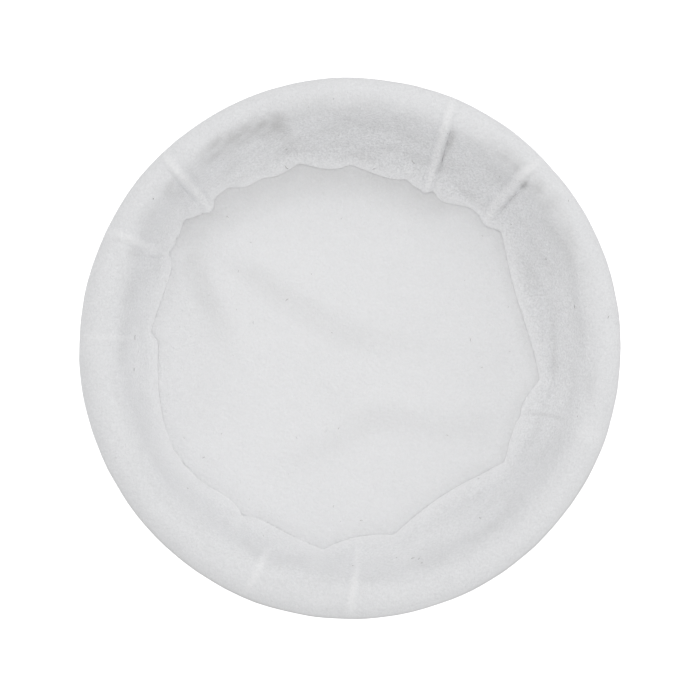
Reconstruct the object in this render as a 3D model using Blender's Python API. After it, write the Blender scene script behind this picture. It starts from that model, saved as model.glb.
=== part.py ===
"""A pakol: the soft round wool cap with a rolled brim, lying upside down on its crown.

It is sewn from two pieces of felted wool cloth. The crown is a flat disc with its edge turned up
to the seam. The band is a straight strip joined to that edge: it lies in over the crown as far as
a wavy lip, which fits the head, and folds back there to climb out to a valley. Its hem is then
rolled outwards and down into the thick brim.

Heights start at the surface that the crown lies on, and +Z is up, into the opening for the head.
Angles are in degrees, counterclockwise from +X as seen from above.
"""

import math

import bmesh
import bpy

MM = 0.001

# Driving dimensions in millimetres
CLOTH = 2.5  # thickness of the felted cloth
CAP_RADIUS = 135.0  # outside of the rolled brim
CAP_HEIGHT = 48.0  # from the crown's face to the top of the roll
ROLL_FOOT = 9.0  # underside of the roll above the crown's face
ROLL_WIDTH = 21.0  # across the roll, from the valley to the outside
ROLL_SQUARENESS = 2.4  # exponent of the roll's oval, where 2 is an ellipse
LAYER_PITCH = 3.3  # from one winding of the roll to the next
SEAM_RADIUS = 116.0  # middle of the cloth where crown and band are sewn edge to edge
SEAM_HEIGHT = 5.2  # top of the crown's turned-up edge
SEAM_GAP = 0.3

# The windings of the roll, as turns about its own centre, from the valley to the hidden hem
ROLL_START = 150.0
ROLL_RETURN = -176.0
ROLL_HEM = -376.0
OUTER_STEPS = 14
INNER_STEPS = 5

# How far the roll narrows where its valley moves outwards, and the angle of its narrowest place
VALLEY_SWING = 2.2
VALLEY_SWING_ANGLE = 130.0

# Sections of the wall: how far from the lip out to the seam or the valley, and the height
WALL_BELOW_LIP = (
    # share to seam, height
    (1.00, SEAM_HEIGHT + SEAM_GAP),
    (1.00, 6.6),
    (0.80, 7.8),
    (0.40, 5.6),
    (0.06, 4.8),
)
LIP_HEIGHT = 7.0
BELOW_LIP = 2.0  # the share that stands for the hidden side of the wall, which no tuck reaches
WALL_ABOVE_LIP = (
    # share to valley, height
    (0.08, 9.3),
    (0.42, 16.6),
    (0.80, 28.2),
)

# Creases that part the wall's inward lobes, and the lobe that follows each one
LOBE_ROUNDNESS = 0.8  # exponent of a lobe's arch: the lower, the flatter its middle
LIP_FOLDS = (
    # crease angle, crease radius, lobe bulge, place of the lobe's crest between its creases
    (38.5, 96.7, 2.8, 0.45),
    (49.0, 94.3, 3.2, 0.60),
    (64.5, 89.8, 1.6, 0.40),
    (72.0, 91.4, 3.6, 0.36),
    (90.0, 93.9, 3.8, 0.45),
    (105.0, 97.1, 2.2, 0.50),
    (120.0, 97.3, 0.4, 0.50),
    (128.0, 102.4, 4.2, 0.58),
    (142.0, 107.2, 1.6, 0.65),
    (152.0, 104.3, 4.2, 0.28),
    (176.5, 101.6, 4.8, 0.14),
    (207.0, 103.3, 2.0, 0.78),
    (237.5, 102.4, 3.8, 0.28),
    (262.5, 103.8, 4.9, 0.58),
    (283.5, 97.7, 8.8, 0.48),
    (323.5, 97.6, 2.4, 0.55),
    (339.0, 93.6, 2.8, 0.40),
    (350.5, 98.0, 9.8, 0.57),
)

# Raised tucks that run from the wall over the roll: where each crosses the valley, how far it
# leans by the lip, how high it stands and how much of the wall it takes
TUCKS = (
    # angle, lean at the lip, height, share of the wall
    (45.4, -1.9, 1.5, 1.0),
    (66.0, -2.3, 1.5, 1.0),
    (134.2, 1.5, 1.3, 1.0),
    (153.0, -0.5, 1.0, 0.7),
    (177.6, 0.0, 0.7, 0.1),
    (247.5, 0.8, 0.7, 0.1),
    (270.2, -0.3, 0.9, 0.6),
    (340.3, 0.6, 0.7, 0.3),
)
TUCK_HALF_WIDTH = 1.7  # degrees
TUCK_FADE = (110.0, 0.0)  # roll turns between which every tuck sinks into the roll
WIDEST_STEP = 5.2  # degrees between neighbouring sections of the band
NARROWEST_STEP = 1.0

# Soft ridges where the crown lifts off the surface below it
CROWN_RIDGES = (
    # start x, start y, end x, end y, rise, half width
    (-70.0, 57.0, 12.0, 8.0, 1.5, 19.0),
    (12.0, 8.0, 82.0, -6.0, 1.0, 18.0),
    (-84.0, 44.0, -60.0, -14.0, 0.9, 15.0),
    (-40.0, -56.0, 14.0, -34.0, 1.1, 18.0),
    (14.0, -34.0, 78.0, -42.0, 1.2, 18.0),
)
RIDGE_END = (76.0, 87.0)  # radii between which every ridge sinks, ahead of the cloth of the band
CROWN_RINGS = (22.0, 42.0, 60.0, *RIDGE_END, 101.0, 113.0)
CROWN_SECTIONS = 60
EDGE_BEND = 3.0  # radius of the bend at the crown's edge
EDGE_BEND_TURNS = (45.0, 90.0)

WOOL_COLOUR = (0.88, 0.885, 0.895, 1.0)
WOOL_ROUGHNESS = 0.95


def mix(a, b, share):
    return a + (b - a) * share


def polar(radius, height, angle):
    """A point of the cap, in metres."""
    turn = math.radians(angle)
    return radius * math.cos(turn) * MM, radius * math.sin(turn) * MM, height * MM


def between(angle, start, end):
    """The share of the way round from start to end, or None outside it."""
    span = (end - start) % 360.0
    gone = (angle - start) % 360.0
    return gone / span if gone < span else None


def lip_radius(angle):
    """The radius of the wall's innermost line: straight from crease to crease, less a round lobe."""
    following = LIP_FOLDS[1:] + LIP_FOLDS[:1]
    for (start, radius, bulge, crest), (end, next_radius, _, _) in zip(LIP_FOLDS, following):
        share = between(angle, start, end)
        if share is not None:
            skewed = share ** (math.log(0.5) / math.log(crest))
            return mix(radius, next_radius, share) - bulge * math.sin(math.pi * skewed) ** LOBE_ROUNDNESS
    return LIP_FOLDS[0][1]


def roll_point(angle, turn):
    """The middle of the cloth in the roll, as radius and height; each full turn lies one layer in."""
    narrowing = VALLEY_SWING * math.cos(math.radians(angle - VALLEY_SWING_ANGLE))
    shrink = LAYER_PITCH * (180.0 - turn) / 360.0
    half_width = (ROLL_WIDTH - CLOTH - narrowing) / 2.0
    centre_radius = CAP_RADIUS - CLOTH / 2.0 - half_width
    half_height = (CAP_HEIGHT - ROLL_FOOT - CLOTH) / 2.0
    centre_height = (CAP_HEIGHT + ROLL_FOOT) / 2.0 - LAYER_PITCH / 4.0
    across = half_width + LAYER_PITCH / 2.0 - shrink
    up = half_height + LAYER_PITCH / 2.0 - shrink
    cosine = math.cos(math.radians(turn))
    sine = math.sin(math.radians(turn))
    power = 2.0 / ROLL_SQUARENESS
    radius = centre_radius + across * math.copysign(abs(cosine) ** power, cosine)
    return radius, centre_height + up * math.copysign(abs(sine) ** power, sine)


def roll_turns():
    """The turns at which the roll is sectioned, wider apart in the hidden winding."""
    outer = [mix(ROLL_START, ROLL_RETURN, i / OUTER_STEPS) for i in range(OUTER_STEPS)]
    inner = [mix(ROLL_RETURN, ROLL_HEM, i / INNER_STEPS) for i in range(INNER_STEPS + 1)]
    return outer + inner


def band_profile(angle):
    """The band's section at one angle: (radius, height, share of the wall, roll turn) rows."""
    lip = lip_radius(angle) + CLOTH / 2.0
    valley = roll_point(angle, ROLL_START)[0]
    rows = []
    for share, height in WALL_BELOW_LIP:
        rows.append((mix(lip, SEAM_RADIUS, share), height, BELOW_LIP, None))
    rows.append((lip, LIP_HEIGHT, 1.0, None))
    for share, height in WALL_ABOVE_LIP:
        rows.append((mix(lip, valley, share), height, 1.0 - share, None))
    for turn in roll_turns():
        rows.append((*roll_point(angle, turn), 0.0, turn))
    return rows


def tuck_rise(angle, wall_share, turn):
    """How far the tucks lift the cloth at one place of the visible surface."""
    start, end = TUCK_FADE
    fade = 1.0 if turn is None else min(1.0, max(0.0, (turn - end) / (start - end)))
    rise = 0.0
    for tuck_angle, lean, height, wall_reach in TUCKS:
        if wall_share <= wall_reach:
            off = abs((angle - tuck_angle - lean * wall_share + 180.0) % 360.0 - 180.0)
            rise += height * fade * max(0.0, 1.0 - off / TUCK_HALF_WIDTH)
    return rise


def lifted(rows, angle):
    """The section with its tucks, each point moved square to the section towards the open air."""
    moved = []
    for i, (radius, height, wall_share, turn) in enumerate(rows):
        before, after = rows[max(i - 1, 0)], rows[min(i + 1, len(rows) - 1)]
        along = (after[0] - before[0], after[1] - before[1])
        length = math.hypot(*along)
        rise = tuck_rise(angle, wall_share, turn)
        moved.append((radius - along[1] / length * rise, height + along[0] / length * rise))
    return moved


def band_angles():
    """Angles of the band's sections: every crease and tuck, and even steps between them."""
    named = {fold[0] for fold in LIP_FOLDS}
    for tuck in TUCKS:
        named |= {tuck[0] - TUCK_HALF_WIDTH, tuck[0], tuck[0] + TUCK_HALF_WIDTH}
    kept = []
    for angle in sorted(named):
        if not kept or angle - kept[-1] > NARROWEST_STEP:
            kept.append(angle)
    angles = []
    for start, end in zip(kept, kept[1:] + [kept[0] + 360.0]):
        steps = max(1, round((end - start) / WIDEST_STEP))
        angles += [mix(start, end, i / steps) for i in range(steps)]
    return angles


def crown_rise(x, y):
    """Height of the crown's soft ridges above the surface it lies on."""
    rise = 0.0
    for x0, y0, x1, y1, height, half_width in CROWN_RIDGES:
        dx, dy = x1 - x0, y1 - y0
        share = min(1.0, max(0.0, ((x - x0) * dx + (y - y0) * dy) / (dx * dx + dy * dy)))
        off = math.hypot(x - x0 - share * dx, y - y0 - share * dy)
        if off < half_width:
            rise = max(rise, height * math.cos(off / half_width * math.pi / 2.0) ** 2)
    start, end = RIDGE_END
    return rise * min(1.0, max(0.0, (end - math.hypot(x, y)) / (end - start)))


def cloth_object(name, sections, closed_at_centre, material):
    """A sheet lofted through rings of points, each a closed loop, then given the cloth's thickness."""
    mesh = bmesh.new()
    rings = [[mesh.verts.new(point) for point in section] for section in sections]
    for inner, outer in zip(rings, rings[1:]):
        for i in range(len(inner)):
            j = (i + 1) % len(inner)
            mesh.faces.new((inner[i], outer[i], outer[j], inner[j]))
    if closed_at_centre:
        centre = mesh.verts.new((0.0, 0.0, closed_at_centre * MM))
        for i, vertex in enumerate(rings[0]):
            mesh.faces.new((centre, vertex, rings[0][(i + 1) % len(rings[0])]))
    bmesh.ops.recalc_face_normals(mesh, faces=mesh.faces)
    data = bpy.data.meshes.new(name)
    mesh.to_mesh(data)
    mesh.free()
    data.materials.append(material)
    data.shade_smooth()
    piece = bpy.data.objects.new(name, data)
    bpy.context.scene.collection.objects.link(piece)
    thicken = piece.modifiers.new("cloth", "SOLIDIFY")
    thicken.thickness = CLOTH * MM
    thicken.offset = 0.0
    thicken.use_even_offset = True
    thicken.thickness_clamp = 1.0
    return piece


def wool_material():
    wool = bpy.data.materials.new("white_wool_felt")
    wool.use_nodes = True
    shader = wool.node_tree.nodes["Principled BSDF"]
    shader.inputs["Base Color"].default_value = WOOL_COLOUR
    shader.inputs["Roughness"].default_value = WOOL_ROUGHNESS
    shader.inputs["Metallic"].default_value = 0.0
    return wool


def build_crown(wool):
    angles = [360.0 * i / CROWN_SECTIONS for i in range(CROWN_SECTIONS)]
    sections = []
    for radius in CROWN_RINGS:
        ring = []
        for angle in angles:
            x, y = radius * math.cos(math.radians(angle)), radius * math.sin(math.radians(angle))
            ring.append(polar(radius, CLOTH / 2.0 + crown_rise(x, y), angle))
        sections.append(ring)
    for bend in EDGE_BEND_TURNS:
        radius = SEAM_RADIUS - EDGE_BEND * (1.0 - math.sin(math.radians(bend)))
        height = CLOTH / 2.0 + EDGE_BEND * (1.0 - math.cos(math.radians(bend)))
        sections.append([polar(radius, height, angle) for angle in angles])
    sections.append([polar(SEAM_RADIUS, SEAM_HEIGHT, angle) for angle in angles])
    return cloth_object("crown", sections, CLOTH / 2.0 + crown_rise(0.0, 0.0), wool)


def build_band(wool):
    angles = band_angles()
    profiles = [lifted(band_profile(angle), angle) for angle in angles]
    sections = []
    for i in range(len(profiles[0])):
        sections.append([polar(*row[i], angle) for row, angle in zip(profiles, angles)])
    return cloth_object("rolled_band", sections, None, wool)


def main():
    for leftover in list(bpy.data.objects):
        bpy.data.objects.remove(leftover)
    wool = wool_material()
    build_crown(wool)
    build_band(wool)


main()
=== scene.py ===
import math
import random

import bpy
import numpy as np
from mathutils import Matrix, Vector, noise
from mathutils.bvhtree import BVHTree


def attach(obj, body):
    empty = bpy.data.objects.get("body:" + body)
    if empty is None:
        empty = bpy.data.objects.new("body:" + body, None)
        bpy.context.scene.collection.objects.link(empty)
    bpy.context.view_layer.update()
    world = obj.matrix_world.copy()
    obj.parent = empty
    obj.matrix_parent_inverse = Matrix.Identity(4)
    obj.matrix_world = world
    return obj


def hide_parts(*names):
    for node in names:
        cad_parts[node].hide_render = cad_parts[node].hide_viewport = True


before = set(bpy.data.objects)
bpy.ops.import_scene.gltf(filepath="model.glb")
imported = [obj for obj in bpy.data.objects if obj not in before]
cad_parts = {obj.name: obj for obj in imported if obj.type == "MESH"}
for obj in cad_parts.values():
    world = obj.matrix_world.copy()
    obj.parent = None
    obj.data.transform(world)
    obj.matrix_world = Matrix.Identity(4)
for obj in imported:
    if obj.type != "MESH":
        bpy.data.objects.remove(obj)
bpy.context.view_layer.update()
print("frame loaded:", sorted(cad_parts))

mm = 0.001  # everything below is in millimetres and degrees until a mesh or a light takes it


# Small helpers

def freshStart():
    if bpy.context.mode != "OBJECT":
        bpy.ops.object.mode_set(mode="OBJECT")
    bpy.ops.object.select_all(action="DESELECT")


def mixed(a, b, share):
    return a + (b - a) * share


def bell(x):
    return np.clip(1.0 - x * x, 0.0, 1.0) ** 2


def eased(x):
    x = np.clip(x, 0.0, 1.0)
    return x * x * (3.0 - 2.0 * x)


def aroundSum(values, width):  # gaussian softening round the full circle, width in degrees
    cycles = np.fft.rfftfreq(len(values), 360.0 / len(values))
    return np.fft.irfft(np.fft.rfft(values) * np.exp(-2.0 * (math.pi * cycles * width) ** 2), len(values))


def roundTable(table, angles):  # the amount at every angle, from rows of (angle, amount)
    places, amounts = zip(*table)
    return np.interp(angles, places, amounts, period=360.0)


def noiseAt(points, size=1.0):
    return np.array([noise.noise(Vector(p) / size) for p in points.tolist()])


def ringCoordinates(piece):
    flat = np.zeros(len(piece.data.vertices) * 3)
    piece.data.vertices.foreach_get("co", flat)
    return flat.reshape(-1, 3)


def placeVertices(piece, points):
    piece.data.vertices.foreach_set("co", (np.asarray(points) * mm).ravel())
    piece.data.update()


def turnedCloth(name, rings, columns, closed):  # a circle, extruded and scaled from ring to ring
    freshStart()
    bpy.ops.mesh.primitive_circle_add(
        vertices=columns, radius=rings[0][0] * mm, fill_type="TRIFAN" if closed else "NOTHING"
    )
    piece = bpy.context.object
    piece.name = piece.data.name = name
    bpy.ops.object.mode_set(mode="EDIT")
    bpy.ops.mesh.select_all(action="SELECT")
    bpy.ops.transform.translate(value=(0.0, 0.0, rings[0][1] * mm))
    if closed:
        bpy.ops.mesh.region_to_loop()
    for (radius, height), (nextRadius, nextHeight) in zip(rings, rings[1:]):
        bpy.ops.mesh.extrude_region_move(
            TRANSFORM_OT_translate={"value": (0.0, 0.0, (nextHeight - height) * mm)}
        )
        grow = nextRadius / radius
        bpy.ops.transform.resize(value=(grow, grow, 1.0), center_override=(0.0, 0.0, 0.0))
    bpy.ops.mesh.select_all(action="SELECT")
    bpy.ops.mesh.normals_make_consistent(inside=False)
    bpy.ops.object.mode_set(mode="OBJECT")
    return piece


def thickened(piece, thickness, fullness=None, thinnest=1.0):  # fullness: 0 where the cloth is pressed
    freshStart()
    piece.select_set(True)
    bpy.context.view_layer.objects.active = piece
    solid = piece.modifiers.new("cloth", "SOLIDIFY")
    solid.thickness = thickness * mm
    solid.offset = 0.0
    if fullness is not None:
        full = piece.vertex_groups.new(name="fullness")
        for level in np.unique(np.round(fullness, 2)):
            full.add(np.flatnonzero(np.round(fullness, 2) == level).tolist(), float(level), "REPLACE")
        solid.vertex_group = full.name
        solid.thickness_vertex_group = thinnest
    bpy.ops.object.modifier_apply(modifier=solid.name)
    piece.vertex_groups.clear()
    bpy.ops.object.shade_smooth_by_angle(angle=math.radians(60.0))
    return piece


# Strokes: soft folds drawn on the cloth in plan, as a path of (angle, radius)

def strokeRows(*rows):  # a row may leave out its fades and the painted shade that it lays on the cloth
    names = ("path", "width", "rise", "fade", "paintedShade")
    return [{"fade": (0.3, 0.3), **dict(zip(names, row))} for row in rows]


def strokeRise(x, y, stroke):
    path = [(math.cos(math.radians(a)) * r, math.sin(math.radians(a)) * r) for a, r in stroke["path"]]
    lengths = [math.dist(p, q) for p, q in zip(path, path[1:])]
    total, gone = sum(lengths), 0.0
    nearest, along = np.full(x.shape, 1e9), np.zeros(x.shape)
    for (px, py), (qx, qy), length in zip(path, path[1:], lengths):
        dx, dy = qx - px, qy - py
        share = np.clip(((x - px) * dx + (y - py) * dy) / length ** 2, 0.0, 1.0)
        off = np.hypot(x - px - share * dx, y - py - share * dy)
        closer = off < nearest
        nearest = np.where(closer, off, nearest)
        along = np.where(closer, (gone + share * length) / total, along)
        gone += length
    startFade, endFade = stroke["fade"]
    fade = eased(along / max(startFade, 1e-3)) if startFade else 1.0
    fade = fade * (eased((1.0 - along) / max(endFade, 1e-3)) if endFade else 1.0)
    return stroke["rise"] * bell(nearest / stroke["width"]) * fade


def paintOn(piece, name, amounts):  # a number for every vertex, which the felt's material reads
    layer = piece.data.attributes.new(name, "FLOAT", "POINT")
    layer.data.foreach_set("value", np.clip(amounts, 0.0, 1.0).astype(np.float32))


# The band: wall, wavy lip, valley and rolled brim, one sheet

bandShape = {
    "columns": 480,
    "crowding": ((3.2, 2.4), (2.2, 1.0)),  # of columns at tucks, at creases: degrees wide, how much more
    "cloth": 2.5,
    "pressedShare": 0.34,  # how much of the cloth's thickness is left in the pressed fold of the lip
    "capRadius": 134.6,
    "capHeight": 48.0,
    "rollFoot": 9.0,
    "rollWidth": 21.0,
    "rollSquareness": 2.4,
    "layerPitch": 3.3,
    "windingSlack": 1.0,  # how much smaller the hidden winding is
    "windingFade": 40.0,  # roll turns in which it gets so
    "seamRadius": 116.0,
    "seamHeight": 4.4,
    "lipHeight": 3.5,
    "lipSpread": 1.2,  # the lip's outline was measured in the picture, and this low it shows smaller
    "lobeRoundness": 0.8,
    "rollStart": 152.0,
    "rollReturn": -176.0,
    "rollHem": -376.0,
    "rollUnder": -20.0,  # where the roll turns under and is hidden from above
    "wallTurn": 200.0,  # the wall counts as this turn, before every fade over the roll
    "controlTurn": 24.0,  # roll turns between the rings that the curve is drawn through
    "wallRows": ((0.0, 4.0, 8), (4.0, 6.0, 10), (6.0, 9.0, 19)),  # from ring, to ring, rows between
    "rollRows": (33, 14, 13),  # seen from above, underneath, hidden
    "seenFrom": 4.6,  # ring from which the sheet is seen
    "seenFade": (-40.0, 20.0),  # roll turns between which tucks and strokes appear
    "lumpFade": (-150.0, -90.0),  # and the cloth's own lumps, which are weaker where hidden
    "hiddenLumps": 0.2,
    "strokeFade": 0.08,  # share of the wall in which strokes fade towards the lip
    "fullAbove": 0.5,  # share of the wall in which the cloth comes to full thickness above the lip
    "fullBelow": 16.0,  # and millimetres below it
    "narrowingSoftness": 2.5,  # degrees
    "lipSoftness": (0.8, 6.0, 1.2),  # degrees at the lip, degrees far from it, curve between them
    # share of the way from lip to seam, height
    "wallBelowLip": ((1.00, 5.5), (1.00, 6.6), (0.80, 7.2), (0.40, 4.2), (0.05, 3.38)),
    # share of the way from lip to valley, height
    "wallAboveLip": ((0.05, 4.7), (0.42, 10.8), (0.80, 24.8)),
    # crease angle, crease radius, bulge of the lobe after it, place of that lobe's crest
    "lipFolds": (
        (38.5, 98.0, 2.9, 0.15),
        (49.0, 94.3, 4.3, 0.66),
        (62.2, 91.6, 3.2, 0.45),
        (72.0, 91.4, 3.6, 0.36),
        (90.0, 93.9, 3.8, 0.45),
        (105.0, 97.5, 2.2, 0.62),
        (116.0, 97.0, 3.0, 0.66),
        (126.8, 103.2, 0.2, 0.50),
        (132.5, 103.4, 4.4, 0.36),
        (142.2, 107.8, 2.2, 0.55),
        (152.8, 105.0, 5.4, 0.25),
        (176.2, 102.0, 4.8, 0.14),
        (207.0, 103.3, 4.6, 0.80),
        (237.5, 102.4, 5.0, 0.28),
        (262.5, 103.8, 5.2, 0.46),
        (283.5, 97.7, 9.5, 0.48),
        (323.5, 97.6, 2.4, 0.55),
        (339.0, 93.6, 2.8, 0.40),
        (350.5, 98.0, 9.4, 0.54),
    ),
    # angle, how much narrower the roll is there
    "rollNarrowing": (
        (0.0, 0.8), (12.0, 0.3), (27.0, 0.4), (38.0, 1.6), (48.0, 2.4), (60.0, 1.4),
        (90.0, 0.8), (105.0, 1.2), (113.0, 1.6), (124.0, 3.8), (132.0, 2.4), (142.0, 4.0),
        (151.0, 2.4), (165.0, -0.4), (173.0, -1.8), (190.0, -0.9), (215.0, -1.2),
        (240.0, -2.2), (255.0, -3.0), (265.0, -2.8), (276.0, -1.4), (300.0, -0.6),
        (320.0, 0.0), (340.0, 0.6), (352.0, 1.8),
    ),
}

tuckNames = ("path", "widths", "height", "reach", "groove", "depth", "pale")
tucks = [dict(zip(tuckNames, row)) for row in (  # sewn-looking ridges that cross the wall
    # path of (radius, angle), width at the lip and at the roll, height, share of the wall that it covers, how
    # far beside it its groove lies, the groove's depth, paleness: partly the worn, whiter ridge and partly
    # painted light on it
    (((92, 41.4), (98, 43.8), (107, 44.9), (121, 45.3), (133, 44.5)), (5.8, 3.7),
     1.6, 1.0, -4.2, 1.0, 0.85),
    (((88, 63.8), (95, 64.6), (101, 65.2), (116, 66.7), (133, 67.8)), (4.1, 3.2),
     1.6, 1.0, -3.3, 0.9, 1.0),
    (((97, 136.4), (102, 135.3), (108, 134.5), (134, 134.0)), (4.8, 3.2), 1.5, 1.0, 3.4, 0.7, 0.9),
    (((108, 153.4), (116, 153.4), (124, 153.8), (133, 154.5)), (3.4, 3.4), 1.1, 0.7, 3.6, 0.4, 0.7),
    (((108, 177.4), (132, 177.6)), (3.0, 3.0), 0.3, 0.1, 2.6, 0.3, 0.4),
    (((108, 247.7), (121, 247.3), (133, 246.2)), (3.2, 3.2), 0.5, 0.2, 0.0, 0.0, 0.75),
    (((101, 272.3), (112, 271.3), (121, 270.4), (133, 269.8)), (3.4, 3.4), 0.7, 0.6, 0.0, 0.0, 0.8),
    (((118, 340.0), (133, 340.0)), (7.0, 7.0), 0.3, 0.0, 0.0, 0.0, 0.45),
)]
tuckShape = {
    "grooveWidth": 1.8,
    "grooveStart": 1.5,  # past the tuck's end at the lip
    "grooveRun": 18.0,  # how long the groove takes to deepen
    "fade": (125.0, 15.0),  # roll turns between which every tuck sinks into the roll
    "grooveFade": (140.0, 100.0),
    "reachFade": 0.35,  # share of the wall in which a tuck ends
    "widthAt": 115.0,  # the radius at which a tuck has its width on the roll
    "paleFade": (121.0, 134.0),  # radii between which the paleness goes down
    "paleLeft": 0.35,  # to this share
}

bandStrokes = strokeRows(
    # deep dent beside the top of the wall, and the crease that leaves it for the lip
    (((104, 112), (107, 115.5), (112, 117.5), (122, 119)), 8.0, -1.7),
    (((108, 112), (106, 105), (104.5, 98)), 3.0, -0.8, (0.3, 0.1)),
    (((90.3, 95), (91, 101), (93, 106)), 3.4, -0.9, (0.05, 0.6)),
    (((119, 98), (116, 103), (113, 107)), 4.0, -0.9, (0.1, 0.6)),
    (((76, 114), (84, 113), (95, 113)), 5.0, -0.7),
    # thin arc on the right of the wall
    (((339.4, 97), (340.6, 101), (341.5, 108), (341.2, 115)), 1.5, -0.3),
    # long faint wrinkles on the right
    (((26, 105), (18, 106), (6, 105), (355, 105)), 2.4, -0.5),
    (((22, 110), (12, 110), (0, 110)), 2.6, 0.5),
    (((30, 113), (18, 114.5), (5, 115), (354, 116)), 3.0, -0.7),
    (((356, 104), (351.4, 105.5), (347, 107)), 2.8, -0.6),
    (((358, 117), (351.8, 118), (347, 117)), 3.2, -0.8),
    # small creases left of the opening
    (((160.5, 107), (161.7, 112.5), (164.5, 114)), 2.2, -0.6),
    (((152, 104), (154.5, 109), (156.3, 114.5)), 2.6, -0.7, (0.1, 0.4)),
    (((142, 106), (140, 110), (138, 113)), 3.0, -0.6, (0.1, 0.5)),
    # low folds that run up from the creases of the lip at the front
    (((237.5, 103), (239, 108), (242, 112)), 4.0, -0.6, (0.05, 0.5)),
    (((262.5, 104), (262, 108), (260, 112)), 4.0, -0.5, (0.05, 0.5)),
    (((323.5, 98), (321, 104), (318, 110)), 5.0, -0.7, (0.05, 0.6)),
    (((300, 103), (308, 106), (316, 108)), 7.0, 0.6),
)

# painted shade in the wall's dents, creases and tuck grooves, and in the valley where the wall meets the roll
paintedShadeStrokes = strokeRows(
    (((131, 116), (128, 117.5), (121.7, 119.3), (115, 118.6), (109, 118), (104.5, 116)),
     5.2, 1.15, (0.3, 0.12)),
    (((114, 115.5), (109, 114), (105, 111)), 7.0, 0.8),
    (((43.2, 120), (43.4, 115)), 3.2, 0.9),
    (((64, 122.5), (50, 123), (36, 123), (12, 122)), 6.0, 0.55),
    (((122, 124.5), (106, 123.5), (90, 122.5), (75, 122.5)), 5.0, 0.3),
    (((64.8, 119.5), (64.1, 113), (63.7, 106)), 2.6, 0.9, (0.15, 0.4)),
    (((339.2, 94.5), (340.6, 101), (341.5, 108), (341.4, 118)), 1.5, 0.7, (0.05, 0.4)),
    (((105.4, 116), (105.6, 106)), 2.4, 0.5),
    (((33, 119.5), (43, 120)), 5.0, 0.4),
    (((46.5, 120), (49, 119.5)), 5.0, 0.5),
    (((43.0, 121), (42.8, 110), (42.4, 99)), 2.4, 0.5, (0.1, 0.4)),
    (((63.8, 119), (64.3, 105), (62.2, 93)), 2.3, 0.6, (0.1, 0.2)),
    (((51, 104), (57, 102)), 6.0, 0.3),
    (((48, 118), (62, 117)), 5.0, 0.25),
    (((70, 113), (80, 112), (90, 112), (98, 114)), 9.0, 0.25, (0.2, 0.2)),
    (((84, 99), (94, 98.5)), 5.0, 0.3),
    (((131.6, 122), (132.4, 112), (132.8, 104)), 2.4, 0.4),
    (((136.6, 123), (137.5, 116), (141, 119)), 4.0, 0.5),
    (((143, 119), (151, 120)), 4.5, 0.4),
    (((156.4, 120), (156.0, 112)), 3.0, 0.3),
    (((160, 114), (172, 113)), 4.0, 0.2),
    (((22, 105), (10, 105), (0, 106)), 4.0, 0.2),
    (((356, 118), (351, 119.5), (346, 119)), 5.0, 0.4),
    (((358, 105.5), (352, 106)), 4.0, 0.4),
    (((284, 115), (300, 116), (321, 116)), 5.0, 0.18),
    (((184, 113), (205, 112.5), (230, 112)), 4.0, 0.1),
    (((236, 110), (248, 109), (262, 112)), 5.0, 0.12),
)
paintedLightStrokes = strokeRows(  # painted light on lobes of the wall that bulge to the light
    (((109, 104), (118, 103), (127, 104)), 7.5, 0.35),
    (((140, 111), (148, 110)), 4.0, 0.3),
    (((53, 97), (60, 94)), 4.0, 0.3),
    (((28, 113), (10, 113), (350, 112), (327, 111)), 12.0, 0.38),
    (((312, 106), (285, 106), (262, 106)), 10.0, 0.4),
    (((206, 107), (185, 106), (166, 107)), 8.0, 0.3),
)
# angle, how rough with lint the wall is there, against 1 for the roughest
wallLint = (
    (0.0, 0.8), (30.0, 0.8), (45.0, 0.9), (60.0, 1.0), (95.0, 1.0), (115.0, 0.8), (140.0, 0.6), (165.0, 0.4),
    (200.0, 0.35), (240.0, 0.5), (300.0, 0.45), (330.0, 0.5), (345.0, 0.8),
)
# angle, how much painted shade the roll's outer side gets there
rimShade = ((0.0, 0.15), (60.0, 0.12), (100.0, 0.15), (150.0, 0.0), (195.0, 0.0), (222.0, 0.8), (260.0, 1.0),
            (285.0, 0.6), (300.0, 0.8), (325.0, 0.8), (345.0, 0.15))
# angle, how much painted shade the crown gets along the lip there
contactShade = ((0.0, 0.26), (60.0, 0.22), (100.0, 0.20), (145.0, 0.12), (200.0, 0.10), (250.0, 0.10),
                (300.0, 0.12), (335.0, 0.20))
paintShape = {
    "rim": (131.4, 134.0),  # radii between which the roll's side goes into that painted shade
    "lipRim": (9.0, 1.8),  # painted light along the lip: how far out from its edge and how far in
    "lipPale": 0.62,
    "lipLine": 1.3,  # the brightest painted light, in a line at the very edge
    "rollLint": 0.30,
    # how dark the painted shade of the shade strokes is
    "strokeShade": 0.54,
    "crownPale": 0.65,
    "crownContact": 9.0,  # how far in from the lip the painted shade on the crown reaches
    "crownLint": 0.16,
    "lipLint": 0.5,  # share of its lint that the wall keeps at the lip
    "lintFade": (122.0, 112.0),  # radii between which the wall's lint thins out to the roll's
}

clothLumps = {"wide": (0.34, 34.0), "middle": (0.20, 13.0), "fine": (0.08, 5.0)}  # height, size


def lumpHeight(points, tallness=1.0):
    rise = np.zeros(len(points))
    for height, size in clothLumps.values():
        rise += noiseAt(points, size) * height * tallness
    return rise


wallStreaks = {
    "height": 0.75,
    "radius": 105.0,
    "along": 21.0,
    "across": 4.6,
    # painted shade laid in the hollows of the streaks
    "shade": 0.5,
    "secondShade": 0.6,  # a second set of streaks, against the first
    "secondOffset": 9.0,
    "patch": 5.5,
    "patchShade": (0.5, 1.3),
    "outer": (124.0, 8.0),  # the radius where they end, and how far they take to fade in
    "lipFade": 5.0,  # millimetres in which their painted shade starts past the lip
    "wallFade": 0.25,  # share of the wall in which their height does
}


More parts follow.
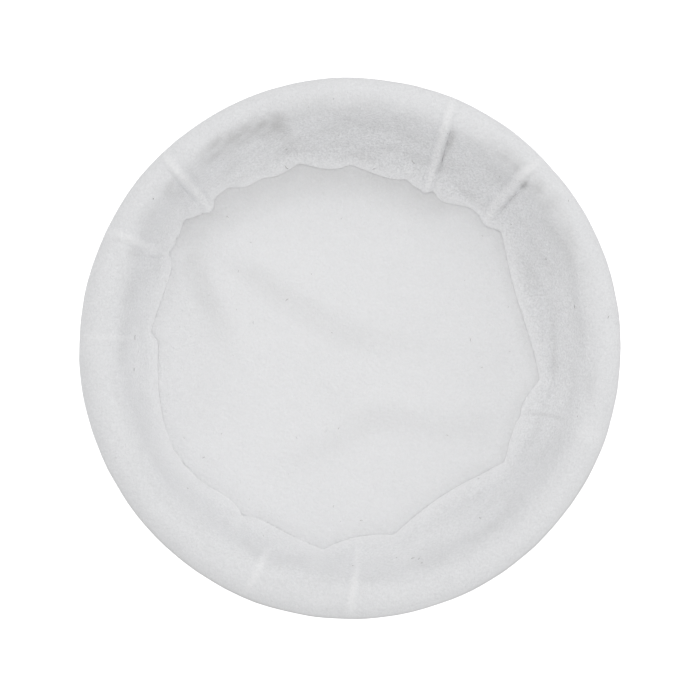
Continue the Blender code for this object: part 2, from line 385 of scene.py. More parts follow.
def streakNoise(radii, angles, offset=0.0):  # lumps drawn out round the cap, about -0.6 to 0.6
    turns = np.radians(angles)
    ring = wallStreaks["radius"] / wallStreaks["along"]
    across = radii / wallStreaks["across"]
    points = np.stack([np.cos(turns) * ring + offset, np.sin(turns) * ring, across], axis=-1)
    return noiseAt(points.reshape(-1, 3)).reshape(radii.shape)


def insideRoll(radii):
    outer, fade = wallStreaks["outer"]
    return eased((outer - radii) / fade)


def lipRadii(angles):
    folds = bandShape["lipFolds"]
    radii = np.zeros(len(angles))
    for fold, following in zip(folds, folds[1:] + folds[:1]):
        start, radius, bulge, crest = fold
        span = (following[0] - start) % 360.0
        share = ((angles - start) % 360.0) / span
        inside = share < 1.0
        skewed = np.clip(share[inside], 1e-9, 1.0) ** (math.log(0.5) / math.log(crest))
        lobe = bulge * np.sin(math.pi * skewed) ** bandShape["lobeRoundness"]
        radii[inside] = mixed(radius, following[1], share[inside]) - lobe
    return radii


def columnAngles(count):  # columns stand closer together at the tucks and the lip's creases
    fine = np.arange(0.0, 360.0, 0.05)
    density = np.ones(len(fine))
    tuckPlaces = [tuck["path"][-2][1] for tuck in tucks]
    foldPlaces = [fold[0] for fold in bandShape["lipFolds"]]
    for places, (width, weight) in zip((tuckPlaces, foldPlaces), bandShape["crowding"]):
        for place in places:
            off = (fine - place + 180.0) % 360.0 - 180.0
            density += weight * np.exp(-((off / width) ** 2))
    summed = np.concatenate([[0.0], np.cumsum(density)])
    return np.interp(np.arange(count) / count * summed[-1], summed, np.append(fine, 360.0))


def rollPoint(narrowing, turn):
    shape = bandShape
    pastReturn = (shape["rollReturn"] - turn) / shape["windingFade"] + 0.5
    hidden = eased(pastReturn) * shape["windingSlack"]
    shrink = shape["layerPitch"] * (180.0 - turn) / 360.0 + hidden
    halfWidth = (shape["rollWidth"] - shape["cloth"] - narrowing) / 2.0
    centreRadius = shape["capRadius"] - shape["cloth"] / 2.0 - halfWidth
    halfHeight = (shape["capHeight"] - shape["rollFoot"] - shape["cloth"]) / 2.0
    centreHeight = (shape["capHeight"] + shape["rollFoot"]) / 2.0 - shape["layerPitch"] / 4.0
    cosine, sine = math.cos(math.radians(turn)), math.sin(math.radians(turn))
    power = 2.0 / shape["rollSquareness"]
    across = halfWidth + shape["layerPitch"] / 2.0 - shrink
    up = halfHeight + shape["layerPitch"] / 2.0 - shrink
    radius = centreRadius + across * math.copysign(abs(cosine) ** power, cosine)
    height = centreHeight + up * math.copysign(abs(sine) ** power, sine)
    return radius, np.full_like(radius, height)


def bandRows():  # every ring of the sheet: its place on the wall, or its turn on the roll
    shape = bandShape
    wall = [place for start, end, count in shape["wallRows"]
            for place in np.linspace(start, end, count, endpoint=False)]
    seenRows, underRows, hiddenRows = shape["rollRows"]
    seen = np.linspace(shape["rollStart"], shape["rollUnder"], seenRows, endpoint=False)
    under = np.linspace(shape["rollUnder"], shape["rollReturn"], underRows, endpoint=False)
    hidden = np.linspace(shape["rollReturn"], shape["rollHem"], hiddenRows)
    return [("wall", p) for p in wall] + [("roll", t) for t in (*seen, *under, *hidden)]


def offTuck(tuck, radii, angles):  # millimetres beside the tuck's middle line, and its width there
    pathRadii, pathAngles = zip(*tuck["path"])
    centre = np.interp(radii, pathRadii, pathAngles)
    width = np.interp(radii, (pathRadii[0], tuckShape["widthAt"]), tuck["widths"])
    return np.radians((angles - centre + 180.0) % 360.0 - 180.0) * radii, width


def paintCloth(piece, isCrown):
    look = paintShape
    x, y, height = (ringCoordinates(piece) / mm).T
    radii, angles = np.hypot(x, y), np.degrees(np.arctan2(y, x)) % 360.0
    samples = np.arange(0.0, 360.0, 0.25)
    pastLip = radii - np.interp(angles, samples, lipRadii(samples) + bandShape["lipSpread"], period=360.0)
    # painted light along the lip's edge, brightest in a line at the very edge
    outward, inward = look["lipRim"]
    pale = np.maximum(look["lipPale"] * bell(pastLip / np.where(pastLip > 0.0, outward, inward)),
                      bell(pastLip / look["lipLine"]))
    if isCrown:
        pale = np.maximum(pale, look["crownPale"])
        # painted shade in the crown's creases, and the wall's painted shadow
        paintedShade = sum(crease["paintedShade"] * strokeRise(x, y, {**crease, "rise": 1.0}) for crease in crownCreases)
        # painted shade on the crown along the lip
        paintedShade += roundTable(contactShade, angles) * bell(pastLip / look["crownContact"])
        paintOn(piece, "lint", np.full(len(x), look["crownLint"]))
    else:
        # the tucks' paleness: partly their worn, whiter ridges and partly painted light on them
        for tuck in tucks:
            start = tuck["path"][0][0]
            off, width = offTuck(tuck, radii, angles)
            full, gone = tuckShape["paleFade"]
            fade = mixed(tuckShape["paleLeft"], 1.0, eased((gone - radii) / (gone - full)))
            fade *= eased((radii - start + 1.0) / 3.0)
            pale = np.maximum(pale, tuck["pale"] * bell(off / width) * fade)
        # painted light on the wall's lobes
        for stroke in paintedLightStrokes:
            pale = np.maximum(pale, strokeRise(x, y, stroke))
        # painted shade of the shade strokes, varied in patches
        paintedShade = look["strokeShade"] * sum(strokeRise(x, y, stroke) for stroke in paintedShadeStrokes)
        streaks, roughness = wallStreaks, roundTable(wallLint, angles)
        patches = noiseAt(np.stack([x, y, height], axis=-1) / streaks["patch"])
        paintedShade = paintedShade * mixed(*streaks["patchShade"], eased(patches + 0.5))
        # painted shade in the hollows of the wall's streaks
        hollows = np.clip(-streakNoise(radii, angles), 0.0, 1.0)
        second = np.clip(-streakNoise(radii, angles, streaks["secondOffset"]), 0.0, 1.0)
        hollows += streaks["secondShade"] * second
        clearOfLip = eased(pastLip / streaks["lipFade"])
        onStreaks = roughness * insideRoll(radii) * clearOfLip
        paintedShade = (paintedShade + streaks["shade"] * hollows * onStreaks) * (1.0 - pale)
        # painted shade on the roll's outer side
        rimStart, rimEnd = look["rim"]
        paintedShade += eased((radii - rimStart) / (rimEnd - rimStart)) * roundTable(rimShade, angles)
        outer, inner = look["lintFade"]
        lint = mixed(look["rollLint"], roughness, eased((outer - radii) / (outer - inner)))
        paintOn(piece, "lint", lint * mixed(look["lipLint"], 1.0, clearOfLip))
    paintOn(piece, "pale", pale)
    # painted shade, everything above added together
    paintOn(piece, "paintedShade", paintedShade)


def makeBand():
    shape = bandShape
    columns = shape["columns"]
    rows = bandRows()
    angles = columnAngles(columns)
    samples = np.arange(0.0, 360.0, 0.125)
    lip = lipRadii(samples) + shape["lipSpread"] + shape["cloth"] / 2.0 * shape["pressedShare"]
    narrowAll = aroundSum(roundTable(shape["rollNarrowing"], samples), shape["narrowingSoftness"])
    narrowing = np.interp(angles, samples, narrowAll, period=360.0)
    lipRing = len(shape["wallBelowLip"])
    rollRing = lipRing + 1 + len(shape["wallAboveLip"])

    def controlRing(k, lipHere):  # radii and heights of a ring that the wall's curve goes through
        if k >= rollRing:
            return rollPoint(narrowing, shape["rollStart"] - shape["controlTurn"] * (k - rollRing))
        if k < 0:
            radius, height = shape["seamRadius"], shape["seamHeight"]
        elif k < lipRing:
            share, height = shape["wallBelowLip"][k]
            radius = mixed(lipHere, shape["seamRadius"], share)
        elif k == lipRing:
            radius, height = lipHere, shape["lipHeight"]
        else:
            share, height = shape["wallAboveLip"][k - lipRing - 1]
            radius = mixed(lipHere, rollPoint(narrowing, shape["rollStart"])[0], share)
        return np.full_like(lipHere, radius), np.full_like(lipHere, height)

    sharp, soft, curve = shape["lipSoftness"]
    shares = [share for share, _ in shape["wallBelowLip"]] + [0.0]
    shares += [share for share, _ in shape["wallAboveLip"]] + [1.0]
    radii, heights, wallShares, turns = [], [], [], []
    for kind, place in rows:
        if kind == "roll":
            radius, height = rollPoint(narrowing, place)
            wallShares.append(0.0)
            turns.append(place)
        else:
            share = np.interp(place, range(rollRing + 1), shares)
            softness = mixed(sharp, soft, share ** curve)
            lipHere = np.interp(angles, samples, aroundSum(lip, softness), period=360.0)
            k = min(int(place), rollRing - 1)
            t = place - k
            ring = [controlRing(k + i, lipHere) for i in (-1, 0, 1, 2)]
            weights = (-t ** 3 + 2 * t ** 2 - t, 3 * t ** 3 - 5 * t ** 2 + 2,
                       -3 * t ** 3 + 4 * t ** 2 + t, t ** 3 - t ** 2)
            radius = sum(w * r for w, (r, _) in zip(weights, ring)) / 2.0
            height = sum(w * h for w, (_, h) in zip(weights, ring)) / 2.0
            wallShares.append(1.0 - share if place >= lipRing else 1.0)
            turns.append(shape["wallTurn"])
        radii.append(radius)
        heights.append(height)
    radii, heights = np.array(radii), np.array(heights)
    wallShares, turns = np.array(wallShares)[:, None], np.array(turns)[:, None]
    isSeen = np.array([kind == "roll" or place >= shape["seenFrom"] for kind, place in rows])[:, None]

    # the rings as a plain turned sheet first, then every vertex goes to its own place
    piece = turnedCloth("bandCloth", list(zip(radii.mean(axis=1), heights.mean(axis=1))), columns, False)
    sheet = ringCoordinates(piece)
    turned = np.degrees(np.arctan2(sheet[:, 1], sheet[:, 0])) / 360.0
    column = np.round(turned * columns).astype(int) % columns
    row = np.arange(len(sheet)) // columns

    alongR, alongZ = np.gradient(radii, axis=0), np.gradient(heights, axis=0)
    length = np.hypot(alongR, alongZ)
    outR, outZ = -alongZ / length, alongR / length
    x, y = radii * np.cos(np.radians(angles)), radii * np.sin(np.radians(angles))
    start, end = shape["seenFade"]
    topSide = isSeen * eased((turns - start) / (end - start))
    rise = np.zeros(radii.shape)
    for tuck in tucks:
        off, width = offTuck(tuck, radii, angles)
        onRoll, offRoll = tuckShape["fade"]
        fade = eased((turns - offRoll) / (onRoll - offRoll))
        fade *= eased((tuck["reach"] - wallShares) / tuckShape["reachFade"] + 1.0)
        rise += tuck["height"] * bell(off / width) * fade
        full, gone = tuckShape["grooveFade"]
        groove = bell((off - tuck["groove"]) / tuckShape["grooveWidth"])
        groove *= eased((turns - gone) / (full - gone))
        groove *= eased((radii - tuck["path"][0][0] - tuckShape["grooveStart"]) / tuckShape["grooveRun"])
        rise -= tuck["depth"] * groove * fade
    for stroke in bandStrokes:
        rise += strokeRise(x, y, stroke) * eased((1.0 - wallShares) / shape["strokeFade"])
    everyAngle = np.broadcast_to(angles, radii.shape)
    onWall = insideRoll(radii) * eased((1.0 - wallShares) / wallStreaks["wallFade"])
    rise += wallStreaks["height"] * streakNoise(radii, everyAngle) * onWall * roundTable(wallLint, everyAngle)
    rise *= topSide
    points = np.stack([x, y, heights], axis=-1).reshape(-1, 3)
    lumps = lumpHeight(points).reshape(radii.shape)
    start, end = shape["lumpFade"]
    rise += lumps * eased((turns - start) / (end - start)) * np.where(isSeen, 1.0, shape["hiddenLumps"])
    radii, heights = radii + outR * rise, heights + outZ * rise
    turn = np.radians(angles)
    shaped = np.stack([radii * np.cos(turn), radii * np.sin(turn), heights], axis=-1)
    placeVertices(piece, shaped[row, column])
    aboveLip = np.array([kind == "roll" or place > lipRing for kind, place in rows])[:, None]
    fullness = np.where(aboveLip, eased((1.0 - wallShares) / shape["fullAbove"]),
                        eased((radii - lip.mean()) / shape["fullBelow"]))
    thickened(piece, shape["cloth"], fullness[row, column], shape["pressedShare"])
    paintCloth(piece, False)
    print("band shaped:", len(piece.data.polygons), "faces")
    return piece


# The crown: a disc of the same cloth, lying on the floor, its edge turned up to the seam

crownShape = {
    "columns": 300,
    "cloth": 2.5,
    "firstRing": 2.0,
    "ringStep": 2.0,
    "seamRadius": 116.0,
    "seamHeight": 5.2,
    "edgeBend": 3.0,
    "freeRadius": 90.0,  # past this the band's cloth lies on the crown and keeps it flat
    "freeFade": 12.0,
    "lumps": 0.6,  # the cloth's lumps, against the band's
    "lift": 0.2,  # how far the cloth lies up, so that no dent goes through the floor
    # start x, start y, end x, end y, rise, width on the lit side, width on the shaded side
    "ridges": (
        (-72.0, 56.0, -30.0, 35.0, 1.7, 22.0, 13.0),
        (-30.0, 35.0, 8.0, 16.0, 1.5, 22.0, 13.0),
        (8.0, 16.0, 82.0, 2.0, 0.9, 22.0, 17.0),
        (-80.0, 46.0, -58.0, 0.0, 1.3, 18.0, 13.0),
        (-42.0, -52.0, 12.0, -31.0, 1.2, 22.0, 16.0),
        (12.0, -31.0, 80.0, -38.0, 1.2, 22.0, 16.0),
    ),
}
crownCreases = strokeRows(  # soft valleys pressed into the crown, with painted shade in them
    (((149, 99), (151, 92), (156.5, 84), (162, 76.5), (167.5, 70.5), (173.5, 65), (186, 57)),
     10.0, -0.6, (0.1, 0.6), 0.26),
    (((142, 76), (142.5, 68), (143.8, 53), (142.6, 34), (139, 18), (90, 5), (5.4, 19), (355.6, 43),
      (352, 65)), 11.5, -0.35, (0.1, 0.6), 0.17),
    (((236.7, 83), (243.5, 67), (256, 54), (270, 44), (287, 38), (307, 45), (317, 59), (326, 71),
      (334, 86)), 12.0, -0.3, (0.25, 0.1), 0.11),
    (((205, 20), (238, 24), (265, 31), (284, 38), (305, 47), (316, 60)), 13.0, -0.2, (0.3, 0.4), 0.07),
    # painted shade alone, with no valley
    (((162, 82), (180, 80), (198, 82)), 34.0, 0.0, (0.0, 0.0), 0.10),
    # painted shadow that the wall casts along the crown's back edge, with no valley
    (((48, 88), (60, 85), (72, 85), (84, 87), (96, 88), (108, 90), (120, 92), (130, 96), (140, 101),
      (152, 99)), 15.0, 0.0, (0.15, 0.1), 0.30),
)


def makeCrown():
    shape = crownShape
    columns = shape["columns"]
    flatEnd, middle = shape["seamRadius"] - shape["edgeBend"], shape["cloth"] / 2.0
    rings = [(r, middle) for r in np.arange(shape["firstRing"], flatEnd, shape["ringStep"])]
    rings.append((flatEnd, middle))
    for bend in (20.0, 40.0, 60.0, 80.0):
        turn = math.radians(bend)
        rings.append((shape["seamRadius"] - shape["edgeBend"] * (1.0 - math.sin(turn)),
                      middle + shape["edgeBend"] * (1.0 - math.cos(turn))))
    rings.append((shape["seamRadius"], shape["seamHeight"] - 0.6))
    rings.append((shape["seamRadius"], shape["seamHeight"]))
    rings = [(float(r), float(h)) for r, h in rings]
    piece = turnedCloth("crownCloth", rings, columns, True)
    points = ringCoordinates(piece) / mm
    x, y = points[:, 0], points[:, 1]
    radius = np.hypot(x, y)
    summed = np.zeros(len(points))
    for x0, y0, x1, y1, height, litWidth, shadeWidth in shape["ridges"]:
        dx, dy = x1 - x0, y1 - y0
        share = np.clip(((x - x0) * dx + (y - y0) * dy) / (dx * dx + dy * dy), 0.0, 1.0)
        offX, offY = x - x0 - share * dx, y - y0 - share * dy
        off = np.hypot(offX, offY)
        lit = eased(0.5 + offY / np.maximum(off, 0.1) * 0.6)
        width = mixed(shadeWidth, litWidth, lit)
        summed += (height * np.cos(np.clip(off / width, 0.0, 1.0) * math.pi / 2.0) ** 2) ** 4
    rise = summed ** 0.25
    for crease in crownCreases:
        rise += strokeRise(x, y, crease)
    lift = shape["lift"]
    rise = np.maximum(rise + lumpHeight(points, shape["lumps"]), -lift)
    points[:, 2] += rise * eased((shape["freeRadius"] - radius) / shape["freeFade"]) + lift
    placeVertices(piece, points)
    thickened(piece, shape["cloth"])
    paintCloth(piece, True)
    print("crown shaped:", len(piece.data.polygons), "faces")
    return piece


# Small things on the cloth, modelled once and copied

def rod(name, length, radius, sides, cuts):  # a round bar along Z, cut into short lengths so it can bend
    freshStart()
    bpy.ops.mesh.primitive_cylinder_add(
        vertices=sides, radius=radius * mm, depth=length * mm, end_fill_type="TRIFAN"
    )
    piece = bpy.context.object
    piece.name = piece.data.name = name
    bpy.ops.object.mode_set(mode="EDIT")
    for height in np.linspace(-length / 2.0, length / 2.0, cuts + 2)[1:-1]:
        bpy.ops.mesh.select_all(action="SELECT")
        bpy.ops.mesh.bisect(plane_co=(0.0, 0.0, float(height) * mm), plane_no=(0.0, 0.0, 1.0))
    bpy.ops.object.mode_set(mode="OBJECT")
    return piece


def bentAlong(piece, length, path, thinEnds):  # the bar's middle line goes onto a path of (x, y, z)
    points = ringCoordinates(piece) / mm
    share = points[:, 2] / length + 0.5
    places = np.linspace(0.0, 1.0, len(path))
    def at(where):
        return np.stack([np.interp(where, places, column) for column in zip(*path)], axis=-1)
    along = at(np.clip(share + 0.05, 0.0, 1.0)) - at(np.clip(share - 0.05, 0.0, 1.0))
    along /= np.linalg.norm(along, axis=1)[:, None]
    aside = np.cross(along, (1.0, 0.0, 0.0))
    aside /= np.linalg.norm(aside, axis=1)[:, None]
    third = np.cross(aside, along)
    thickness = mixed(thinEnds, 1.0, np.sqrt(np.clip(4.0 * share * (1.0 - share), 0.0, 1.0)))[:, None]
    bent = at(share) + (third * points[:, :1] + aside * points[:, 1:2]) * thickness
    placeVertices(piece, bent)
    bpy.ops.object.shade_smooth_by_angle(angle=math.radians(70.0))


def copiedTo(model, name, matrices):
    copies = []
    for matrix in matrices:
        mesh = model.data.copy()
        mesh.transform(matrix)
        copy = bpy.data.objects.new(name, mesh)
        bpy.context.scene.collection.objects.link(copy)
        copies.append(copy)
    bpy.data.objects.remove(model)
    freshStart()
    for copy in copies:
        copy.select_set(True)
    bpy.context.view_layer.objects.active = copies[0]
    bpy.ops.object.join()
    copies[0].name = copies[0].data.name = name
    return copies[0]


seamStitch = {
    "count": 190,
    "thickness": 0.75,
    "length": 6.0,
    # out from the middle, round the seam, up
    "path": ((115.8, -1.3, 2.7), (117.3, -0.9, 3.2), (118.0, -0.3, 4.8), (117.9, 0.3, 6.0),
             (117.0, 0.9, 7.4), (115.6, 1.3, 7.8)),
    "unevenness": 0.25,  # how far, of one stitch's room, each one strays
}


def makeSeamStitches():
    look = seamStitch
    stitch = rod("seamStitch", look["length"], look["thickness"] / 2.0, 6, 5)
    bentAlong(stitch, look["length"], look["path"], 0.7)
    hand = random.Random(7)
    room = 360.0 / look["count"]
    matrices = []
    for k in range(look["count"]):
        turn = math.radians((k + hand.uniform(-0.5, 0.5) * look["unevenness"]) * room)
        lift = Matrix.Translation((0.0, 0.0, hand.uniform(-0.15, 0.15) * mm))
        matrices.append(Matrix.Rotation(turn, 4, "Z") @ lift)
    piece = copiedTo(stitch, "seamStitches", matrices)
    print("seam stitched:", len(piece.data.polygons), "faces")
    return piece


kempHairs = {
    "length": 2.0,
    "thickness": 0.16,
    "path": ((0.0, 0.0, -1.0), (0.0, 0.18, -0.5), (0.03, 0.26, 0.0), (0.0, 0.15, 0.5), (0.0, -0.1, 1.0)),
    "scattered": 46,
    "scatteredWithin": 131.0,
    "scatteredSize": (0.3, 0.7),
    # the ones that show most: x, y, length against the model's, turn
    "shown": (
        (-32.4, 92.9, 1.5, 130.0), (-108.2, 5.6, 1.3, 80.0), (-108.5, -10.6, 0.9, 60.0),
        (32.2, 95.1, 1.2, 115.0), (12.4, 92.0, 0.9, 30.0), (111.5, 20.7, 1.1, 100.0),
        (126.4, 15.3, 0.9, 60.0), (-75.3, -56.2, 0.8, 20.0), (31.5, -105.0, 1.0, 40.0),
        (34.4, -105.0, 0.8, 100.0), (5.7, -88.5, 0.7, 0.0), (65.4, -85.0, 0.9, 140.0),
        (-32.4, 25.0, 1.0, 40.0), (62.0, 4.4, 0.8, 90.0),
    ),
}


def makeKempHairs(cloths):  # coarse dark hairs of the fleece, lying on the felt
    look = kempHairs
    hair = rod("kempHair", look["length"], look["thickness"] / 2.0, 5, 4)
    bentAlong(hair, look["length"], look["path"], 0.35)
    hand = random.Random(19)
    places = list(look["shown"])
    for _ in range(look["scattered"]):
        radius = look["scatteredWithin"] * math.sqrt(hand.random())
        turn = hand.uniform(0.0, math.tau)
        places.append((radius * math.cos(turn), radius * math.sin(turn),
                       hand.uniform(*look["scatteredSize"]), hand.uniform(0.0, 180.0)))
    trees = []
    for cloth in cloths:
        mesh = cloth.data
        trees.append(BVHTree.FromPolygons([v.co for v in mesh.vertices], [f.vertices for f in mesh.polygons]))
    matrices = []
    for x, y, size, turn in places:
        hits = [tree.ray_cast(Vector((x * mm, y * mm, 0.1)), Vector((0.0, 0.0, -1.0))) for tree in trees]
        place, normal = max(((hit[0], hit[1]) for hit in hits if hit[0]), key=lambda pair: pair[0].z)
        along = Vector((math.cos(math.radians(turn)), math.sin(math.radians(turn)), 0.0))
        along = (along - normal * along.dot(normal)).normalized()
        aside = normal.cross(along)
        frameHere = Matrix((normal, aside, along)).transposed().to_4x4()
        lifted = Matrix.Translation(place + normal * look["thickness"] * 0.3 * mm)
        matrices.append(lifted @ frameHere @ Matrix.Diagonal((1.0, size, size, 1.0)))
    piece = copiedTo(hair, "kempHairs", matrices)
    print("kemp hairs laid:", len(matrices))
    return piece


# Materials

def feed(tree, socket, value):  # another node's output, a number, a vector or a colour
    if isinstance(value, bpy.types.NodeSocket):
        tree.links.new(value, socket)
    else:
        socket.default_value = (*value, 1.0) if socket.type == "RGBA" else value


def feedNode(tree, node, **values):  # each goes to the setting or the input of its name
    for key, value in values.items():
        if key in node.bl_rna.properties:
            setattr(node, key, value)
        else:
            feed(tree, node.inputs[key.replace("_", " ")], value)
    return node


def addNode(tree, kind, **values):
    return feedNode(tree, tree.nodes.new(kind), **values)


def calculated(tree, operation, *terms):
    node = addNode(tree, "ShaderNodeMath", operation=operation)
    for socket, term in zip(node.inputs, terms):
        feed(tree, socket, term)
    return node.outputs[0]


def blended(tree, amount, under, over, kind="MIX"):  # a colour laid over another, as far as amount says
    mix = addNode(tree, "ShaderNodeMix", data_type="RGBA", blend_type=kind)
    for k, value in ((0, amount), (6, under), (7, over)):  # where its colour sockets are
        feed(tree, mix.inputs[k], value)
    return mix.outputs[2]


def newMaterial(name):
    material = bpy.data.materials.new(name)
    material.use_nodes = True
    return material, material.node_tree, material.node_tree.nodes["Principled BSDF"]


def newEffect(name, numbers, results):  # a vector and numbers go in, numbers come out
    tree = bpy.data.node_groups.new(name, "ShaderNodeTree")
    tree.interface.new_socket(name="Vector", in_out="INPUT", socket_type="NodeSocketVector")
    for label, value in numbers.items():
        socket = tree.interface.new_socket(name=label, in_out="INPUT", socket_type="NodeSocketFloat")
        socket.default_value = value
    for label in results:
        tree.interface.new_socket(name=label, in_out="OUTPUT", socket_type="NodeSocketFloat")
    return tree, tree.nodes.new("NodeGroupInput").outputs, tree.nodes.new("NodeGroupOutput")


fibreDirections = ((0.3, 0.2, 0.1), (1.2, 0.5, 0.9), (0.7, 1.3, 2.1), (2.2, 0.9, 1.5))


def makeFibreGroup():  # crossed, stretched noise: the matted hairs of felt
    tree, given, result = newEffect("feltFibres", {"Scale": 900.0}, ("Height",))
    height = None
    for turn in fibreDirections:
        stretched = addNode(tree, "ShaderNodeMapping", Vector=given["Vector"], Rotation=turn,
                            Scale=(1.0, 1.0, 0.14))
        hairs = addNode(tree, "ShaderNodeTexNoise", Vector=stretched.outputs["Vector"],
                        Scale=given["Scale"], Detail=1.5, Roughness=0.55, Distortion=0.6)
        off = calculated(tree, "ABSOLUTE", calculated(tree, "SUBTRACT", hairs.outputs["Fac"], 0.5))
        ridge = calculated(tree, "MULTIPLY_ADD", off, -6.0, 1.0)
        height = ridge if height is None else calculated(tree, "MAXIMUM", height, ridge)
    feedNode(tree, result, Height=height)
    return tree


def makeMottleGroup():  # pilling and uneven density of the wool, from a few millimetres to centimetres
    numbers = {"Grain Scale": 620.0, "Cloud Scale": 60.0, "Cloud Share": 0.35}
    tree, given, result = newEffect("feltMottle", numbers, ("Mottle", "Grain"))
    spread = []
    for scale, texture in (("Grain Scale", {"Detail": 3.0, "Roughness": 0.6}),
                           ("Cloud Scale", {"Detail": 2.0})):
        lumps = addNode(tree, "ShaderNodeTexNoise", Vector=given["Vector"], Scale=given[scale], **texture)
        spread.append(addNode(tree, "ShaderNodeMapRange", Value=lumps.outputs["Fac"], From_Min=0.34,
                              From_Max=0.66).outputs[0])
    both = addNode(tree, "ShaderNodeMix", data_type="FLOAT", Factor=given["Cloud Share"],
                   A=spread[0], B=spread[1])
    feedNode(tree, result, Mottle=both.outputs[0], Grain=spread[0])
    return tree


def makeFleckGroup():  # rare darker flecks, where a coarse hair or a bit of chaff is caught in the felt
    tree, given, result = newEffect("feltFlecks", {"Scale": 130.0, "Size": 0.05}, ("Mask",))
    stretched = addNode(tree, "ShaderNodeMapping", Vector=given["Vector"], Rotation=(0.4, 0.2, 0.8),
                        Scale=(1.0, 0.45, 1.0))
    cells = addNode(tree, "ShaderNodeTexVoronoi", Vector=stretched.outputs["Vector"], Scale=given["Scale"])
    chance = addNode(tree, "ShaderNodeSeparateColor", Color=cells.outputs["Color"]).outputs[0]
    near = calculated(tree, "LESS_THAN", cells.outputs["Distance"], given["Size"])
    chosen = calculated(tree, "GREATER_THAN", chance, 0.72)
    feedNode(tree, result, Mask=calculated(tree, "MULTIPLY", near, chosen))
    return tree


def makeLintGroup():  # lint and pills of rubbed wool, as a number about 1 that shades the colour
    tree, given, result = newEffect("feltLint", {"Scale": 1150.0, "Amount": 0.0}, ("Shade",))
    specks = addNode(tree, "ShaderNodeTexNoise", Vector=given["Vector"], Scale=given["Scale"],
                     Detail=3.0, Roughness=0.7)
    spread = addNode(tree, "ShaderNodeMapRange", Value=specks.outputs["Fac"], From_Min=0.32,
                     From_Max=0.68, To_Min=0.5, To_Max=-0.5)
    feedNode(tree, result, Shade=calculated(tree, "MULTIPLY_ADD", spread.outputs[0], given["Amount"], 1.0))
    return tree


effectGroups = {"fibres": makeFibreGroup(), "mottle": makeMottleGroup(), "flecks": makeFleckGroup(),
                "lint": makeLintGroup()}


def placeEffect(tree, name, where, **values):
    group = effectGroups[name]
    return addNode(tree, "ShaderNodeGroup", node_tree=group, Vector=where, **values).outputs


def painted(tree, name):
    return addNode(tree, "ShaderNodeAttribute", attribute_name=name).outputs["Fac"]


def makeFelt(name, look):
    material, tree, shader = newMaterial(name)
    where = addNode(tree, "ShaderNodeTexCoord").outputs["Object"]
    mottle = placeEffect(tree, "mottle", where, Grain_Scale=look["grainScale"],
                         Cloud_Scale=look["cloudScale"])
    fibres = placeEffect(tree, "fibres", where, Scale=look["fibreScale"])
    flecks = placeEffect(tree, "flecks", where, Scale=look["fleckScale"], Size=look["fleckSize"])
    amount = calculated(tree, "MULTIPLY", painted(tree, "lint"), look["lintContrast"])
    lint = placeEffect(tree, "lint", where, Scale=look["lintScale"], Amount=amount)
    thin = addNode(tree, "ShaderNodeMapRange", Value=fibres["Height"], To_Max=look["fibreTint"])
    colour = blended(tree, mottle["Mottle"], look["shade"], look["light"])
    colour = blended(tree, thin.outputs[0], colour, look["between"], "MULTIPLY")
    # painted light along the lip and on lobes, the tucks' paleness (partly worn, partly painted light), and
    # the crown's paler tone
    colour = blended(tree, painted(tree, "pale"), colour, look["pale"])
    # painted shade: darker in creases, dents and hollows, along the lip and on the roll's outer side
    colour = blended(tree, painted(tree, "paintedShade"), colour, look["paintedShade"], "MULTIPLY")
    linty = addNode(tree, "ShaderNodeVectorMath", operation="SCALE", Vector=colour, Scale=lint["Shade"])
    colour = blended(tree, flecks["Mask"], linty.outputs[0], look["fleck"])
    smoothest, roughest = look["rough"]
    rough = addNode(tree, "ShaderNodeMapRange", Value=mottle["Grain"], To_Min=smoothest, To_Max=roughest)
    height = calculated(tree, "MULTIPLY_ADD", mottle["Grain"], look["grainHeight"], fibres["Height"])
    height = calculated(tree, "MULTIPLY_ADD", lint["Shade"], look["lintDepth"], height)
    bump = addNode(tree, "ShaderNodeBump", Height=height, Strength=look["bump"],
                   Distance=look["bumpDepth"] * mm)
    feedNode(tree, shader, Base_Color=colour, Roughness=rough.outputs[0], Normal=bump.outputs["Normal"],
             Sheen_Weight=look["sheen"], Sheen_Roughness=look["sheenRough"],
             Specular_IOR_Level=look["specular"])
    return material


feltLook = {
    "light": (0.932, 0.936, 0.946),
    "shade": (0.890, 0.895, 0.906),
    "between": (0.96, 0.96, 0.965),  # what lies between the fibres
    # the colour of painted light, of the tucks' paleness and of the crown's paler tone
    "pale": (0.97, 0.972, 0.98),
    # the colour that the painted shade darkens the felt towards
    "paintedShade": (0.76, 0.756, 0.748),
    "lintContrast": 0.29,
    "fleck": (0.16, 0.15, 0.14),
    "fibreTint": 0.7,
    "grainScale": 620.0,
    "cloudScale": 55.0,
    "fibreScale": 900.0,
    "lintScale": 900.0,
    "lintDepth": 3.0,
    "fleckScale": 90.0,
    "fleckSize": 0.02,
    "rough": (0.88, 1.0),
    "grainHeight": 1.6,
    "bump": 0.55,
    "bumpDepth": 0.28,
    "sheen": 0.25,
    "sheenRough": 0.6,
    "specular": 0.12,
}
threadLook = {
    **feltLook,
    "light": (0.93, 0.93, 0.92),
    "shade": (0.84, 0.84, 0.83),
    "fibreScale": 2600.0,
    "grainScale": 1500.0,
    "bumpDepth": 0.12,
}
kempLook = {"dark": (0.05, 0.042, 0.035), "pale": (0.20, 0.17, 0.14), "scale": 400.0, "rough": 0.55}


def makeKemp(look):
    material, tree, shader = newMaterial("kempHair")
    where = addNode(tree, "ShaderNodeTexCoord").outputs["Object"]
    mottle = placeEffect(tree, "mottle", where, Grain_Scale=look["scale"] * 6.0, Cloud_Scale=look["scale"])
    tone = blended(tree, mottle["Mottle"], look["dark"], look["pale"])
    feedNode(tree, shader, Base_Color=tone, Roughness=look["rough"])
    return material


# Stage, light and camera

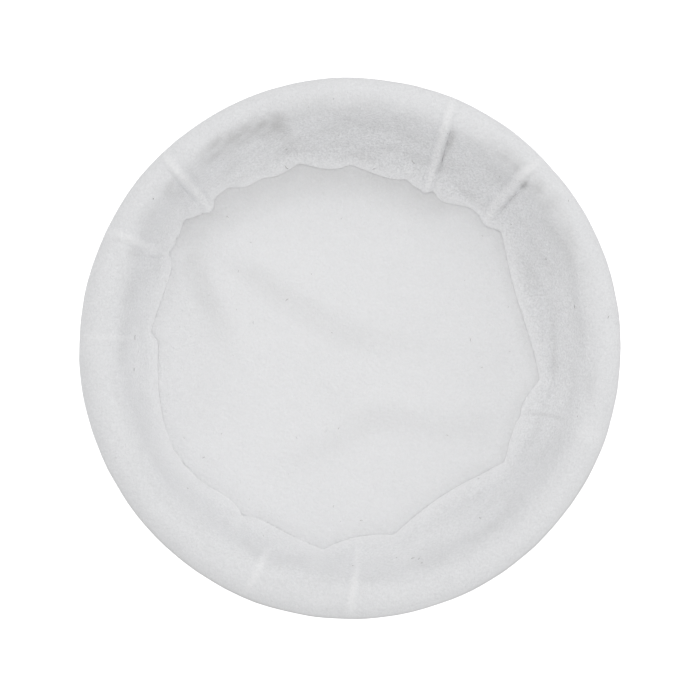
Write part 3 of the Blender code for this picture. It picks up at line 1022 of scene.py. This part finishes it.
stageLook = {
    "floor": (0.92, 0.94),  # darkest and palest grey of the table
    "floorSize": 8.0,
    "floorGap": 0.4,
    "floorGlow": 0.75,  # a lit white table, which shines no light back up at the cap
    "fill": 0.664,
    "softBoxes": (  # name, watts, size, azimuth, elevation
        ("backSoftBox", 3.0, 0.9, 90.0, 48.0),
        ("frontSoftBox", 1.1, 1.0, 270.0, 60.0),
        ("leftSoftBox", 0.8, 1.0, 180.0, 60.0),
        ("rightSoftBox", 1.7, 0.8, 0.0, 30.0),
    ),
    "boxDistance": 1.5,
    "cameraHeight": 900.0,
    "planeHeight": 28.0,  # where the picture is exactly 350 mm wide
    "planeWidth": 350.0,
    "lookAtY": -0.75,
}


def makeStage():
    look = stageLook
    freshStart()
    bpy.ops.mesh.primitive_plane_add(size=look["floorSize"], location=(0.0, 0.0, -look["floorGap"] * mm))
    floor = bpy.context.object
    floor.name = "paleFloor"
    paper, tree, shader = newMaterial("palePaper")
    where = addNode(tree, "ShaderNodeTexCoord").outputs["Object"]
    soft = addNode(tree, "ShaderNodeTexNoise", Vector=where, Scale=3.0)
    dark, pale = look["floor"]
    tone = addNode(tree, "ShaderNodeMapRange", Value=soft.outputs["Fac"], To_Min=dark, To_Max=pale)
    seen = addNode(tree, "ShaderNodeLightPath").outputs["Is Camera Ray"]
    feedNode(tree, shader, Base_Color=tone.outputs[0], Roughness=0.9, Specular_IOR_Level=0.0,
             Emission_Color=(1.0, 1.0, 1.0),
             Emission_Strength=calculated(tree, "MULTIPLY", seen, look["floorGlow"]))
    floor.data.materials.append(paper)

    world = bpy.data.worlds.new("studio")
    world.use_nodes = True
    sky = world.node_tree.nodes["Background"]
    feedNode(world.node_tree, sky, Color=(1.0, 1.0, 1.0), Strength=look["fill"])
    bpy.context.scene.world = world
    bpy.context.scene.view_settings.view_transform = "Standard"


def addSoftBox(name, power, size, distance, azimuth, elevation):
    freshStart()
    turn, lift = math.radians(azimuth), math.radians(elevation)
    toward = Vector((math.cos(turn) * math.cos(lift), math.sin(turn) * math.cos(lift), math.sin(lift)))
    bpy.ops.object.light_add(type="AREA", location=toward * distance)
    lamp = bpy.context.object
    lamp.name = name
    lamp.data.shape = "DISK"
    lamp.data.size = size
    lamp.data.energy = power
    lamp.rotation_euler = toward.to_track_quat("Z", "Y").to_euler()


def makeLightAndCamera():
    look = stageLook
    for name, power, size, azimuth, elevation in look["softBoxes"]:
        addSoftBox(name, power, size, look["boxDistance"], azimuth, elevation)
    view = bpy.data.cameras.new("topView")
    view.sensor_width = 36.0
    view.lens = view.sensor_width * (look["cameraHeight"] - look["planeHeight"]) / look["planeWidth"]
    camera = bpy.data.objects.new("topView", view)
    camera.location = (0.0, look["lookAtY"] * mm, look["cameraHeight"] * mm)
    bpy.context.scene.collection.objects.link(camera)
    bpy.context.scene.camera = camera
    print("stage, lights and camera set")


# Assembly

makeLightAndCamera()
makeStage()
felt = makeFelt("whiteWoolFelt", feltLook)

crown = makeCrown()
crown.data.materials.append(felt)
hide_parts("crown")
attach(crown, "root")

band = makeBand()
band.data.materials.append(felt)
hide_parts("rolled_band")
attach(band, "root")

stitches = makeSeamStitches()
stitches.data.materials.append(makeFelt("seamThread", threadLook))
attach(stitches, "root")

hairs = makeKempHairs([band, crown])
hairs.data.materials.append(makeKemp(kempLook))
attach(hairs, "root")
